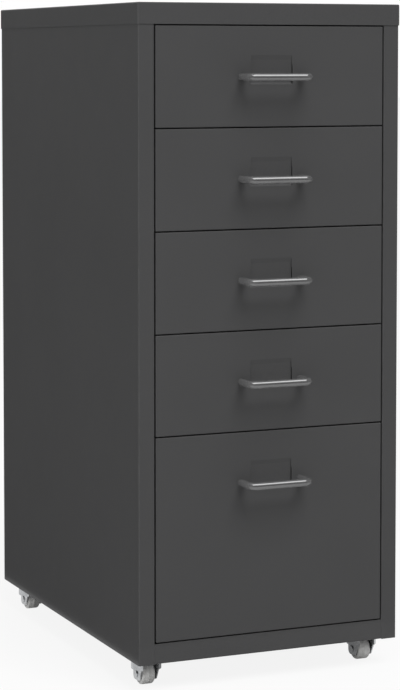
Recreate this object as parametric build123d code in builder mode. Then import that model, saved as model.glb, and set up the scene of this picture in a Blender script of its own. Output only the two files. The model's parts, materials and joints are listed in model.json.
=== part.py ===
from build123d import *
import os

# Rolling drawer cabinet: a folded sheet-steel case on four swivel castors, four low drawers over a tall one.
# Millimetres. X runs to the right as seen from the front, Y to the back and Z up from the floor.
# The origin is on the floor, under the middle of the whole object.

# Case
CASE_WIDTH = 282.5  # over the side panels
CASE_DEPTH = 410.0  # from the face of the stiles to the rear flanges
SHEET = 0.6  # thickness of the case and drawer sheet
BEND_RADIUS = 1.5  # outside radius of a fold
PANEL_CLEARANCE = 0.1  # between panels that nest
STILE_WIDTH = 16.8  # front fold of a side panel
STILE_RETURN = 9.0  # second fold, back into the case
REAR_FLANGE = 16.0  # rear fold of a side panel
RAIL_HEIGHT = 20.0  # upturned edge of the bottom pan, which shows below the lowest drawer
RAIL_RETURN = 8.0  # stiffening fold along the top of the rail
BACK_FLANGE = 12.0  # forward folds of the back panel
COVER_LIP = 21.0  # height of the cover's edge

# Screws in the back
BACK_SCREW_RADIUS = 1.95
BACK_SCREW_LENGTH = 8.0
BACK_HEAD_RADIUS = 3.6
BACK_HEAD_HEIGHT = 2.0
SCREW_HOLE_CLEARANCE = 0.15
BACK_SCREW_ROWS = 4

# Drawer fronts, from the top down
SMALL_DRAWERS = 4
SMALL_FRONT = 98.8
TALL_FRONT = 201.1
FRONT_GAP = 1.2  # around every front
FRONT_FOLD = 14.0  # depth of the folded edge
FRONT_BEND = 1.0

# Label pocket pressed into a front, measured from the handle's height
POCKET_WIDTH = 45.6
POCKET_RISE = 21.5
POCKET_FALL = 7.2
POCKET_DEPTH = 1.8
POCKET_SHOULDER = 0.9  # depth at the foot of the slanted upper part
POCKET_SLOPE = 4.5  # height of the slanted upper part
POCKET_LEDGE = 1.9  # height of the steep lower part
POCKET_BEND = 1.0
POCKET_ROOT = 2.0  # flat sheet above and below that the pressed strip runs on into
SLIT_RISE = 12.0  # upper end of the two slits
SLIT_WIDTH = 0.25

# Wire handle and its screws
HANDLE_SPACING = 64.0
HANDLE_REACH = 27.5  # from the front to the outside of the bar
HANDLE_DROP = 50.1  # below the upper edge of the front
HANDLE_BEND = 6.5  # centre line
WIRE_RADIUS = 3.8
HANDLE_SCREW_RADIUS = 1.95
HANDLE_SCREW_DEPTH = 8.0  # engaged in the wire
HANDLE_HEAD_RADIUS = 3.6
HANDLE_HEAD_HEIGHT = 2.0
THREAD_CLEARANCE = 0.05
BORE_TIP = 1.0  # bore past the end of the screw

# Drawer trays
FRONT_OVERHANG = 10.25  # front past the tray on each side
TRAY_END_CLEARANCE = 20.1  # behind the closed tray
TRAY_LIFT = 3.0  # floor of the tray above the lower edge of the front
LIP_DROP = 14.8  # side lips below the upper edge of the front
LIP_WIDTH = 9.0
LIP_HEM = 4.5
LIP_START = 0.5  # behind the folded edge of the front
REAR_LIP = 6.0
WINDOW_MARGIN = 4.0  # around the label pocket, in the front wall of the tray

# Channel runners
RUNNER_GAP = 1.5  # beside the tray
RUN_BELOW = 0.3  # under the hem
RUN_ABOVE = 0.8  # over the lip
CLOSE_CLEARANCE = 0.3  # between a closed front's fold and the runner's end
RUNNER_END_GAP = 1.0
STOP_WIDTH = 4.5
STOP_CLEARANCE = 0.5  # left between the tabs at full travel
STOP_HEADROOM = 1.5  # over and under the tabs
STOP_SETBACK = 85.0  # tray's tab ahead of its rear end

# Castors
CASTOR_HEIGHT = 28.5
CASTOR_INSET_X = 21.5  # kingpin from the side of the case
CASTOR_INSET_Y = 34.5  # kingpin from the front and the back
CASTOR_TRAIL = 3.0  # axle behind the kingpin
PLATE_LENGTH = 38.0
PLATE_WIDTH = 34.0
PLATE_CORNER = 4.0
PLATE_THICKNESS = 1.2
PLATE_HOLE_LENGTH = 29.0
PLATE_HOLE_WIDTH = 25.0
PLATE_SCREW_RADIUS = 1.95
PLATE_HEAD_RADIUS = 3.4
PLATE_HEAD_HEIGHT = 1.8
NUT_ACROSS = 7.0
NUT_HEIGHT = 3.0
NUT_TIP = 1.0  # screw past its nut
BALL_RADIUS = 1.1
BALL_CLEARANCE = 0.1
BALL_CIRCLE = 9.0
BALLS = 8
FORK_SHEET = 1.2
CROWN_RADIUS = 15.0
CROWN_ROUND = 2.8
CROWN_LIP = 17.0  # height of the crown's lower edge over the floor
KINGPIN_RADIUS = 2.4
KINGPIN_HEAD_RADIUS = 4.2
KINGPIN_HEAD_HEIGHT = 1.0
KINGPIN_FLARE = 0.9  # riveted upper end
PIN_CLEARANCE = 0.05
WHEEL_RADIUS = 11.0
WHEEL_WIDTH = 14.0
WHEEL_ROUND = 2.4
WHEEL_RIM = 2.6
WHEEL_DISH = 1.4
HUB_RADIUS = 4.2
HUB_PLAY = 0.3  # between the hub and each cheek
HUB_PROUD = 1.0  # hub past the tread on each side
AXLE_RADIUS = 2.0
AXLE_HEAD_RADIUS = 3.8
AXLE_HEAD_HEIGHT = 1.2
AXLE_HEAD_ROUND = 0.9
CHEEK_AHEAD = 13.5  # upper end of a cheek in front of the axle
CHEEK_BEHIND = 8.0
CHEEK_TIP_AHEAD = 7.0  # lower end of a cheek, which tapers towards the axle
CHEEK_TIP_BEHIND = 7.5
CHEEK_BELOW = 6.0
CHEEK_ROUND = 4.5

# Levels and faces that follow from the sizes above
COVER_STEP = SHEET + PANEL_CLEARANCE
REAR_REACH = COVER_STEP + BACK_HEAD_HEIGHT
FRONT_Y = (HANDLE_REACH - CASE_DEPTH - REAR_REACH) / 2
BACK_Y = FRONT_Y + CASE_DEPTH
MIDDLE_Y = (FRONT_Y + BACK_Y) / 2
CASE_BOTTOM = CASTOR_HEIGHT
RAIL_TOP = CASE_BOTTOM + RAIL_HEIGHT
FRONT_HEIGHTS = [SMALL_FRONT] * SMALL_DRAWERS + [TALL_FRONT]
DRAWERS = len(FRONT_HEIGHTS)
COVER_EDGE = RAIL_TOP + sum(FRONT_HEIGHTS) + FRONT_GAP * (DRAWERS + 1)
CASE_TOP = COVER_EDGE + COVER_LIP
INSIDE_WIDTH = CASE_WIDTH - 2 * SHEET
NEST_WIDTH = INSIDE_WIDTH - 2 * PANEL_CLEARANCE
NEST_FRONT = FRONT_Y + SHEET + PANEL_CLEARANCE
NEST_BACK = BACK_Y - SHEET - PANEL_CLEARANCE
FRONT_WIDTH = CASE_WIDTH - 2 * (STILE_WIDTH + FRONT_GAP)
TRAY_WIDTH = FRONT_WIDTH - 2 * FRONT_OVERHANG
TRAY_FRONT = FRONT_Y + SHEET
TRAY_REAR = NEST_BACK - SHEET - TRAY_END_CLEARANCE
TRAY_LENGTH = TRAY_REAR - TRAY_FRONT
LIP_REACH = TRAY_WIDTH / 2 + LIP_WIDTH
RUNNER_INNER = TRAY_WIDTH / 2 + RUNNER_GAP
RUNNER_FRONT = FRONT_Y + FRONT_FOLD + CLOSE_CLEARANCE
RUNNER_REAR = NEST_BACK - BACK_FLANGE - RUNNER_END_GAP
STOP_HEIGHT = LIP_HEM + RUN_BELOW - SHEET - STOP_HEADROOM
STOP_Y = TRAY_REAR - STOP_SETBACK
TRAVEL = STOP_Y - RUNNER_FRONT - SHEET - STOP_CLEARANCE
BACK_SCREW_X = CASE_WIDTH / 2 - REAR_FLANGE / 2
BACK_SCREW_HOLE = BACK_SCREW_RADIUS + SCREW_HOLE_CLEARANCE
LOW_SCREW_Z = CASE_BOTTOM + RAIL_HEIGHT / 2
HIGH_SCREW_Z = CASE_TOP - COVER_LIP / 2
SCREW_STEP = (HIGH_SCREW_Z - LOW_SCREW_Z) / (BACK_SCREW_ROWS - 1)
BACK_SCREW_LEVELS = [LOW_SCREW_Z + SCREW_STEP * row for row in range(BACK_SCREW_ROWS)]
PLATE_BOTTOM = CASTOR_HEIGHT - PLATE_THICKNESS
CROWN_TOP = PLATE_BOTTOM - 2 * (BALL_RADIUS + BALL_CLEARANCE)
CROWN_CEILING = CROWN_TOP - FORK_SHEET
CHEEK_INSIDE = WHEEL_WIDTH / 2 + HUB_PROUD + HUB_PLAY
CHEEK_OUTSIDE = CHEEK_INSIDE + FORK_SHEET
PLATE_HOLE = PLATE_SCREW_RADIUS + SCREW_HOLE_CLEARANCE
CASTOR_X = CASE_WIDTH / 2 - CASTOR_INSET_X
CASTOR_PLACES = {
    "front_left": (-CASTOR_X, FRONT_Y + CASTOR_INSET_Y),
    "front_right": (CASTOR_X, FRONT_Y + CASTOR_INSET_Y),
    "rear_left": (-CASTOR_X, BACK_Y - CASTOR_INSET_Y),
    "rear_right": (CASTOR_X, BACK_Y - CASTOR_INSET_Y),
}
SIDES = {"left": -1, "right": 1}


def save(builder, name):
    """Label a finished sub-part and write it to its own file."""
    builder.part.label = name
    export_step(builder.part, f"parts/{name}.step")


def folded_section(plane, corners, side, bend=BEND_RADIUS):
    """Section of a folded sheet whose outer face follows the given corners."""
    with BuildSketch(plane) as section:
        with BuildLine():
            FilletPolyline(*corners, radius=bend)
            offset(amount=SHEET, side=side)
        make_face()
    return section.sketch


def upright(y):
    """Plane across the cabinet at depth y, seen from the front: local x is X, local y is Z."""
    return Plane.XZ.offset(-y)


def drawer_span(index):
    """Lower and upper edge of a drawer front, counted from the top."""
    top = COVER_EDGE - FRONT_GAP - sum(height + FRONT_GAP for height in FRONT_HEIGHTS[:index])
    return top - FRONT_HEIGHTS[index], top


def side_panels():
    """Both sides: stile with its return at the front, flange at the rear, notched for the bottom pan."""
    left = -CASE_WIDTH / 2
    corners = [
        (left + STILE_WIDTH, FRONT_Y + STILE_RETURN),
        (left + STILE_WIDTH, FRONT_Y),
        (left, FRONT_Y),
        (left, BACK_Y),
        (left + REAR_FLANGE, BACK_Y),
    ]
    with BuildPart() as left_panel:
        section = folded_section(Plane.XY.offset(CASE_BOTTOM), corners, Side.RIGHT)
        extrude(section, amount=CASE_TOP - SHEET - CASE_BOTTOM)
        with BuildSketch(Plane.XY.offset(CASE_BOTTOM)):
            with Locations((left + STILE_WIDTH, FRONT_Y + SHEET)):
                Rectangle(2 * BEND_RADIUS, STILE_RETURN, align=(Align.CENTER, Align.MIN))
        extrude(amount=RAIL_HEIGHT + PANEL_CLEARANCE, mode=Mode.SUBTRACT)
        with BuildSketch(upright(BACK_Y)):
            with Locations(*[(-BACK_SCREW_X, level) for level in BACK_SCREW_LEVELS]):
                Circle(BACK_SCREW_HOLE)
        extrude(amount=2 * SHEET, both=True, mode=Mode.SUBTRACT)
    save(left_panel, "left_side_panel")
    with BuildPart() as right_panel:
        mirror(left_panel.part, about=Plane.YZ)
    save(right_panel, "right_side_panel")


def back_panel():
    """Sheet across the back, above the bottom pan, with forward folds beside the side panels."""
    half = NEST_WIDTH / 2
    corners = [
        (-half, NEST_BACK - BACK_FLANGE),
        (-half, NEST_BACK),
        (half, NEST_BACK),
        (half, NEST_BACK - BACK_FLANGE),
    ]
    low = RAIL_TOP + PANEL_CLEARANCE
    with BuildPart() as panel:
        section = folded_section(Plane.XY.offset(low), corners, Side.RIGHT)
        extrude(section, amount=CASE_TOP - SHEET - PANEL_CLEARANCE - low)
        with BuildSketch(upright(NEST_BACK)):
            with Locations(*[(s * BACK_SCREW_X, z) for s in SIDES.values() for z in BACK_SCREW_LEVELS[1:]]):
                Circle(BACK_SCREW_HOLE)
        extrude(amount=2 * SHEET, both=True, mode=Mode.SUBTRACT)
    save(panel, "back_panel")


def top_cover():
    """Lid whose lip wraps the top of the case on all four sides."""
    with BuildPart() as cover:
        with BuildSketch(Plane.XY.offset(COVER_EDGE)):
            with Locations((0, MIDDLE_Y)):
                Rectangle(CASE_WIDTH + 2 * COVER_STEP, CASE_DEPTH + 2 * COVER_STEP)
        extrude(amount=COVER_LIP)
        corners = cover.edges().filter_by(Axis.Z)
        rim = cover.faces().sort_by(Axis.Z)[-1].edges()
        fillet(corners + rim, radius=BEND_RADIUS)
        with BuildSketch(Plane.XY.offset(CASE_TOP - SHEET)):
            with Locations((0, MIDDLE_Y)):
                Rectangle(CASE_WIDTH + 2 * PANEL_CLEARANCE, CASE_DEPTH + 2 * PANEL_CLEARANCE)
        extrude(amount=-COVER_LIP, mode=Mode.SUBTRACT)
        with BuildSketch(upright(BACK_Y + COVER_STEP)):
            with Locations(*[(s * BACK_SCREW_X, HIGH_SCREW_Z) for s in SIDES.values()]):
                Circle(BACK_SCREW_HOLE)
        extrude(amount=2 * SHEET, both=True, mode=Mode.SUBTRACT)
    save(cover, "top_cover")


def plate_hole_places():
    """Screw places of all four castor plates."""
    return [
        (x + sx * PLATE_HOLE_WIDTH / 2, y + sy * PLATE_HOLE_LENGTH / 2)
        for x, y in CASTOR_PLACES.values()
        for sx in (-1, 1)
        for sy in (-1, 1)
    ]


def bottom_pan():
    """Floor of the case with upturned edges; the front edge is the rail under the lowest drawer."""
    with BuildPart() as pan:
        with BuildSketch(Plane.XY.offset(CASE_BOTTOM)):
            with Locations((0, NEST_FRONT)):
                Rectangle(NEST_WIDTH, NEST_BACK - NEST_FRONT, align=(Align.CENTER, Align.MIN))
        extrude(amount=RAIL_HEIGHT)
        corners = pan.edges().filter_by(Axis.Z)
        rim = pan.faces().sort_by(Axis.Z)[0].edges()
        fillet(corners + rim, radius=BEND_RADIUS)
        with BuildSketch(Plane.XY.offset(CASE_BOTTOM + SHEET)):
            with Locations((0, NEST_FRONT + SHEET)):
                inside = NEST_BACK - NEST_FRONT - 2 * SHEET
                Rectangle(NEST_WIDTH - 2 * SHEET, inside, align=(Align.CENTER, Align.MIN))
        extrude(amount=RAIL_HEIGHT, mode=Mode.SUBTRACT)
        with BuildSketch(Plane.XY.offset(RAIL_TOP)):
            with Locations((0, NEST_FRONT)):
                Rectangle(FRONT_WIDTH, RAIL_RETURN, align=(Align.CENTER, Align.MIN))
        extrude(amount=-SHEET)
        with BuildSketch(Plane.XY.offset(CASE_BOTTOM)):
            with Locations(*plate_hole_places()):
                Circle(PLATE_HOLE)
        extrude(amount=2 * SHEET, mode=Mode.SUBTRACT)
        with BuildSketch(upright(NEST_BACK)):
            with Locations(*[(s * BACK_SCREW_X, LOW_SCREW_Z) for s in SIDES.values()]):
                Circle(BACK_SCREW_HOLE)
        extrude(amount=2 * SHEET, both=True, mode=Mode.SUBTRACT)
    save(pan, "bottom_pan")


def back_screws():
    """Pan-head screws up both rear flanges; the uppermost pair also holds the cover."""
    with BuildPart() as screws:
        for level in BACK_SCREW_LEVELS:
            seat = BACK_Y + (COVER_STEP if level > COVER_EDGE else 0)
            places = [(s * BACK_SCREW_X, level) for s in SIDES.values()]
            with BuildSketch(upright(seat)):
                with Locations(*places):
                    Circle(BACK_HEAD_RADIUS)
            extrude(amount=-BACK_HEAD_HEIGHT)
            with BuildSketch(upright(seat)):
                with Locations(*places):
                    Circle(BACK_SCREW_RADIUS)
            extrude(amount=BACK_SCREW_LENGTH)
        crowns = screws.edges().filter_by(GeomType.CIRCLE)
        outer = [e for e in crowns if e.radius > BACK_SCREW_RADIUS + SCREW_HOLE_CLEARANCE]
        rear = [e for e in outer if e.center().Y > BACK_Y + BACK_HEAD_HEIGHT - SHEET / 2]
        fillet(rear, radius=BACK_HEAD_HEIGHT / 2)
    save(screws, "back_screws")


def runners(index):
    """Pair of channel runners of one drawer, fixed flat to the side panels."""
    lip_top = drawer_span(index)[1] - LIP_DROP
    web = -INSIDE_WIDTH / 2
    low = lip_top - LIP_HEM - RUN_BELOW - SHEET
    high = lip_top + RUN_ABOVE + SHEET
    corners = [(-RUNNER_INNER, low), (web, low), (web, high), (-RUNNER_INNER, high)]
    with BuildPart() as left_runner:
        section = folded_section(upright(RUNNER_FRONT), corners, Side.RIGHT)
        extrude(section, amount=RUNNER_FRONT - RUNNER_REAR)
        with BuildSketch(upright(RUNNER_FRONT)):
            with Locations((-RUNNER_INNER, low)):
                Rectangle(STOP_WIDTH, SHEET + STOP_HEIGHT, align=(Align.MAX, Align.MIN))
        extrude(amount=-SHEET)
    save(left_runner, f"runner_{index + 1}_left")
    with BuildPart() as right_runner:
        mirror(left_runner.part, about=Plane.YZ)
    save(right_runner, f"runner_{index + 1}_right")


def drawer_front(index):
    """Folded pan with the label pocket pressed in between two slits, and the two handle holes."""
    low, high = drawer_span(index)
    axis = high - HANDLE_DROP
    rise = axis + POCKET_RISE
    fall = axis - POCKET_FALL
    slit = axis + SLIT_RISE
    floor = FRONT_Y + POCKET_DEPTH
    half = POCKET_WIDTH / 2
    with BuildPart() as front:
        with BuildSketch(upright(FRONT_Y)):
            with Locations((0, low)):
                Rectangle(FRONT_WIDTH, high - low, align=(Align.CENTER, Align.MIN))
        extrude(amount=-FRONT_FOLD)
        corners = front.edges().filter_by(Axis.Y)
        rim = front.faces().sort_by(Axis.Y)[0].edges()
        fillet(corners + rim, radius=FRONT_BEND)
        with BuildSketch(upright(FRONT_Y + SHEET)):
            with Locations((0, low + SHEET)):
                Rectangle(FRONT_WIDTH - 2 * SHEET, high - low - 2 * SHEET, align=(Align.CENTER, Align.MIN))
        extrude(amount=-FRONT_FOLD, mode=Mode.SUBTRACT)
        with BuildSketch(upright(FRONT_Y)):
            with Locations((0, fall)):
                Rectangle(POCKET_WIDTH, rise - fall, align=(Align.CENTER, Align.MIN))
            with Locations((-HANDLE_SPACING / 2, axis), (HANDLE_SPACING / 2, axis)):
                Circle(HANDLE_SCREW_RADIUS + SCREW_HOLE_CLEARANCE)
        extrude(amount=-SHEET, mode=Mode.SUBTRACT)
        strip = [
            (FRONT_Y, rise + POCKET_ROOT),
            (FRONT_Y, rise),
            (FRONT_Y + POCKET_SHOULDER, rise - POCKET_SLOPE),
            (floor, fall + POCKET_LEDGE),
            (FRONT_Y, fall),
            (FRONT_Y, fall - POCKET_ROOT),
        ]
        section = folded_section(Plane.YZ, strip, Side.LEFT, POCKET_BEND)
        extrude(section, amount=half, both=True)
        middle = FRONT_Y + SHEET / 2
        run = (rise - POCKET_SLOPE - slit) / (rise - POCKET_SLOPE - fall - POCKET_LEDGE)
        slit_depth = POCKET_SHOULDER + (POCKET_DEPTH - POCKET_SHOULDER) * run
        cheek = [
            (FRONT_Y, rise + SHEET),
            (middle, rise + SHEET),
            (middle + POCKET_SHOULDER, rise - POCKET_SLOPE),
            (middle + slit_depth, slit),
            (FRONT_Y, slit),
        ]
        for side in SIDES.values():
            with BuildSketch(Plane.YZ.offset(side * half)):
                with BuildLine():
                    Polyline(*cheek, close=True)
                make_face()
            extrude(amount=-side * SHEET)
            with BuildSketch(upright(FRONT_Y)):
                with Locations((side * (half - SLIT_WIDTH / 2), fall)):
                    Rectangle(SLIT_WIDTH, slit - fall, align=(Align.CENTER, Align.MIN))
            extrude(amount=-POCKET_DEPTH - 2 * SHEET, mode=Mode.SUBTRACT)
    save(front, f"drawer_{index + 1}_front")


def drawer_tray(index):
    """Open tray with hemmed side lips that hang in the runners, and a tab on each lip that meets its stop."""
    low, high = drawer_span(index)
    axis = high - HANDLE_DROP
    floor = low + TRAY_LIFT
    top = high - LIP_DROP
    lip_corners = [
        (SHEET - TRAY_WIDTH / 2, top),
        (-LIP_REACH, top),
        (-LIP_REACH, top - LIP_HEM),
    ]
    lip_front = FRONT_Y + FRONT_FOLD + LIP_START
    with BuildPart() as lip:
        section = folded_section(upright(lip_front), lip_corners, Side.LEFT)
        extrude(section, amount=lip_front - TRAY_REAR)
        with BuildSketch(upright(STOP_Y)):
            with Locations((-RUNNER_INNER, top)):
                Rectangle(STOP_WIDTH, SHEET + STOP_HEIGHT, align=(Align.MAX, Align.MAX))
        extrude(amount=-SHEET)
    with BuildPart() as tray:
        with BuildSketch(Plane.XY.offset(floor)):
            with Locations((0, TRAY_FRONT)):
                Rectangle(TRAY_WIDTH, TRAY_LENGTH, align=(Align.CENTER, Align.MIN))
        extrude(amount=top - floor)
        corners = tray.edges().filter_by(Axis.Z)
        rim = tray.faces().sort_by(Axis.Z)[0].edges()
        fillet(corners + rim, radius=BEND_RADIUS)
        with BuildSketch(Plane.XY.offset(floor + SHEET)):
            with Locations((0, TRAY_FRONT + SHEET)):
                Rectangle(TRAY_WIDTH - 2 * SHEET, TRAY_LENGTH - 2 * SHEET, align=(Align.CENTER, Align.MIN))
        extrude(amount=top - floor, mode=Mode.SUBTRACT)
        add(lip.part)
        mirror(lip.part, about=Plane.YZ)
        with BuildSketch(Plane.XY.offset(top)):
            with Locations((0, TRAY_REAR - SHEET)):
                Rectangle(TRAY_WIDTH - 2 * SHEET, REAR_LIP, align=(Align.CENTER, Align.MAX))
        extrude(amount=-SHEET)
        with BuildSketch(upright(TRAY_FRONT)):
            with Locations((0, axis - POCKET_FALL - WINDOW_MARGIN)):
                window = POCKET_RISE + POCKET_FALL + 2 * WINDOW_MARGIN
                Rectangle(POCKET_WIDTH + 2 * WINDOW_MARGIN, window, align=(Align.CENTER, Align.MIN))
            with Locations((-HANDLE_SPACING / 2, axis), (HANDLE_SPACING / 2, axis)):
                Circle(HANDLE_SCREW_RADIUS + SCREW_HOLE_CLEARANCE)
        extrude(amount=-SHEET, mode=Mode.SUBTRACT)
    save(tray, f"drawer_{index + 1}_tray")


def drawer_handle(index):
    """Bow of round wire, bored and tapped in both ends."""
    axis = drawer_span(index)[1] - HANDLE_DROP
    bar = FRONT_Y - HANDLE_REACH + WIRE_RADIUS
    half = HANDLE_SPACING / 2
    with BuildPart() as handle:
        with BuildLine(Plane.XY.offset(axis)):
            FilletPolyline((-half, FRONT_Y), (-half, bar), (half, bar), (half, FRONT_Y), radius=HANDLE_BEND)
        with BuildSketch(Plane((-half, FRONT_Y, axis), x_dir=(1, 0, 0), z_dir=(0, -1, 0))):
            Circle(WIRE_RADIUS)
        sweep()
        with BuildSketch(upright(FRONT_Y)):
            with Locations((-half, axis), (half, axis)):
                Circle(HANDLE_SCREW_RADIUS + THREAD_CLEARANCE)
        extrude(amount=HANDLE_SCREW_DEPTH + BORE_TIP, mode=Mode.SUBTRACT)
    save(handle, f"drawer_{index + 1}_handle")


def handle_screws(index):
    """Two screws from inside the tray, through its front wall and the front into the handle."""
    axis = drawer_span(index)[1] - HANDLE_DROP
    seat = TRAY_FRONT + SHEET
    places = [(-HANDLE_SPACING / 2, axis), (HANDLE_SPACING / 2, axis)]
    with BuildPart() as screws:
        with BuildSketch(upright(seat)):
            with Locations(*places):
                Circle(HANDLE_HEAD_RADIUS)
        extrude(amount=-HANDLE_HEAD_HEIGHT)
        fillet(screws.faces().sort_by(Axis.Y)[-2:].edges(), radius=HANDLE_HEAD_HEIGHT / 2)
        with BuildSketch(upright(seat)):
            with Locations(*places):
                Circle(HANDLE_SCREW_RADIUS)
        extrude(amount=seat - FRONT_Y + HANDLE_SCREW_DEPTH)
    save(screws, f"drawer_{index + 1}_handle_screws")


def castor_plate(place, x, y):
    """Mounting plate with four screw holes and a countersunk hole for the kingpin."""
    with BuildPart() as plate:
        with BuildSketch(Plane((x, y, PLATE_BOTTOM))):
            RectangleRounded(PLATE_WIDTH, PLATE_LENGTH, PLATE_CORNER)
            with GridLocations(PLATE_HOLE_WIDTH, PLATE_HOLE_LENGTH, 2, 2):
                Circle(PLATE_HOLE, mode=Mode.SUBTRACT)
        extrude(amount=PLATE_THICKNESS)
        with Locations((x, y, CASTOR_HEIGHT)):
            bore = KINGPIN_RADIUS + PIN_CLEARANCE
            CounterSinkHole(bore, bore + KINGPIN_FLARE)
    save(plate, f"castor_{place}_plate")


def castor_kingpins():
    """Riveted pins: flush flare in the plate, flat head under the crown of the fork."""
    head_top = CROWN_CEILING - PIN_CLEARANCE
    flare = KINGPIN_RADIUS + KINGPIN_FLARE
    with BuildPart() as pins:
        for x, y in CASTOR_PLACES.values():
            with BuildSketch(Plane((x, y, 0), x_dir=(1, 0, 0), z_dir=(0, -1, 0))):
                with BuildLine():
                    Polyline(
                        (0, head_top - KINGPIN_HEAD_HEIGHT),
                        (KINGPIN_HEAD_RADIUS, head_top - KINGPIN_HEAD_HEIGHT),
                        (KINGPIN_HEAD_RADIUS, head_top),
                        (KINGPIN_RADIUS, head_top),
                        (KINGPIN_RADIUS, CASTOR_HEIGHT - KINGPIN_FLARE),
                        (flare, CASTOR_HEIGHT),
                        (0, CASTOR_HEIGHT),
                        close=True,
                    )
                make_face()
            revolve(axis=Axis((x, y, 0), (0, 0, 1)))
    save(pins, "castor_kingpins")


def castor_balls():
    """Ring of bearing balls between each plate and the crown of its fork."""
    level = CROWN_TOP + BALL_CLEARANCE + BALL_RADIUS
    with BuildPart() as balls:
        for x, y in CASTOR_PLACES.values():
            with Locations(Plane((x, y, level))):
                with PolarLocations(BALL_CIRCLE, BALLS):
                    Sphere(BALL_RADIUS)
    save(balls, "castor_balls")


def castor_screws():
    """Screws up through the plates and the bottom pan, with a nut on each."""
    nut_seat = CASE_BOTTOM + SHEET
    with BuildPart() as screws:
        with BuildSketch(Plane.XY.offset(PLATE_BOTTOM)):
            with Locations(*plate_hole_places()):
                Circle(PLATE_HEAD_RADIUS)
        extrude(amount=-PLATE_HEAD_HEIGHT)
        fillet(screws.faces().filter_by(Axis.Z).group_by(Axis.Z)[0].edges(), radius=PLATE_HEAD_HEIGHT / 2)
        with BuildSketch(Plane.XY.offset(PLATE_BOTTOM)):
            with Locations(*plate_hole_places()):
                Circle(PLATE_SCREW_RADIUS)
        extrude(amount=PLATE_THICKNESS + SHEET + NUT_HEIGHT + NUT_TIP)
    save(screws, "castor_screws")
    with BuildPart() as nuts:
        with BuildSketch(Plane.XY.offset(nut_seat)):
            with Locations(*plate_hole_places()):
                RegularPolygon(NUT_ACROSS / 2, 6, major_radius=False)
                Circle(PLATE_SCREW_RADIUS + THREAD_CLEARANCE, mode=Mode.SUBTRACT)
        extrude(amount=NUT_HEIGHT)
    save(nuts, "castor_nuts")


def castor_fork(place, x, y):
    """Stamped fork: a cup-shaped crown, open before and behind the wheel, and two tapered cheeks that hold the axle."""
    axle_y = y + CASTOR_TRAIL
    with BuildPart() as fork:
        with BuildSketch(Plane((x, y, CROWN_LIP))):
            Circle(CROWN_RADIUS)
        extrude(amount=CROWN_TOP - CROWN_LIP)
        fillet(fork.faces().sort_by(Axis.Z)[-1].edges(), radius=CROWN_ROUND)
        with BuildSketch(Plane((x, y, CROWN_CEILING))):
            Circle(CROWN_RADIUS - FORK_SHEET)
        extrude(amount=CROWN_LIP - CROWN_CEILING, mode=Mode.SUBTRACT)
        with BuildSketch(upright(y)):
            with Locations((x, CROWN_LIP)):
                Rectangle(2 * CHEEK_INSIDE, CROWN_CEILING - CROWN_LIP, align=(Align.CENTER, Align.MIN))
        extrude(amount=CROWN_RADIUS, both=True, mode=Mode.SUBTRACT)
        cheek = [
            (axle_y - CHEEK_AHEAD, CROWN_CEILING),
            (axle_y + CHEEK_BEHIND, CROWN_CEILING),
            (axle_y + CHEEK_BEHIND, CROWN_LIP),
            (axle_y + CHEEK_TIP_BEHIND, WHEEL_RADIUS - CHEEK_BELOW),
            (axle_y - CHEEK_TIP_AHEAD, WHEEL_RADIUS - CHEEK_BELOW),
            (axle_y - CHEEK_AHEAD, CROWN_LIP),
        ]
        for side in SIDES.values():
            with BuildSketch(Plane.YZ.offset(x + side * CHEEK_INSIDE)) as outline:
                with BuildLine():
                    Polyline(*cheek, close=True)
                make_face()
                fillet(outline.vertices().group_by(Axis.Y)[0], radius=CHEEK_ROUND)
            extrude(amount=side * FORK_SHEET)
        with BuildSketch(Plane.YZ.offset(x)):
            with Locations((axle_y, WHEEL_RADIUS)):
                Circle(AXLE_RADIUS + PIN_CLEARANCE)
        extrude(amount=CROWN_RADIUS, both=True, mode=Mode.SUBTRACT)
        with BuildSketch(Plane((x, y, CROWN_CEILING))):
            Circle(KINGPIN_RADIUS + PIN_CLEARANCE)
        extrude(amount=FORK_SHEET, mode=Mode.SUBTRACT)
    save(fork, f"castor_{place}_fork")


def castor_axle(place, x, y):
    """Rivet through both cheeks, with a rounded head outside each."""
    axle_y = y + CASTOR_TRAIL
    with BuildPart() as axle:
        with BuildSketch(Plane.YZ.offset(x)):
            with Locations((axle_y, WHEEL_RADIUS)):
                Circle(AXLE_RADIUS)
        extrude(amount=CHEEK_OUTSIDE, both=True)
        for side in SIDES.values():
            with BuildSketch(Plane.YZ.offset(x + side * CHEEK_OUTSIDE)):
                with Locations((axle_y, WHEEL_RADIUS)):
                    Circle(AXLE_HEAD_RADIUS)
            extrude(amount=side * AXLE_HEAD_HEIGHT)
        ends = axle.faces().filter_by(Axis.X).sort_by(Axis.X)
        fillet(ends[0].edges() + ends[-1].edges(), radius=AXLE_HEAD_ROUND)
    save(axle, f"castor_{place}_axle")


def castor_wheel(place, x, y):
    """Moulded wheel: rounded tread, dished sides and a hub that stands proud."""
    half = WHEEL_WIDTH / 2
    rim = WHEEL_RADIUS - WHEEL_RIM
    hub = half + HUB_PROUD
    dish = half - WHEEL_DISH
    bore = AXLE_RADIUS + PIN_CLEARANCE
    half_section = [
        (hub, bore),
        (hub, HUB_RADIUS),
        (dish, HUB_RADIUS),
        (dish, rim),
        (half, rim),
        (half, WHEEL_RADIUS),
    ]
    section = half_section + [(-across, radius) for across, radius in reversed(half_section)]
    with BuildPart() as wheel:
        axle = Plane((x, y + CASTOR_TRAIL, WHEEL_RADIUS), x_dir=(1, 0, 0), z_dir=(0, -1, 0))
        with BuildSketch(axle) as profile:
            with BuildLine():
                Polyline(*section, close=True)
            make_face()
            fillet(profile.vertices().group_by(Axis.Y)[-1], radius=WHEEL_ROUND)
        revolve(axis=Axis(axle.origin, (1, 0, 0)))
    save(wheel, f"castor_{place}_wheel")


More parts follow.
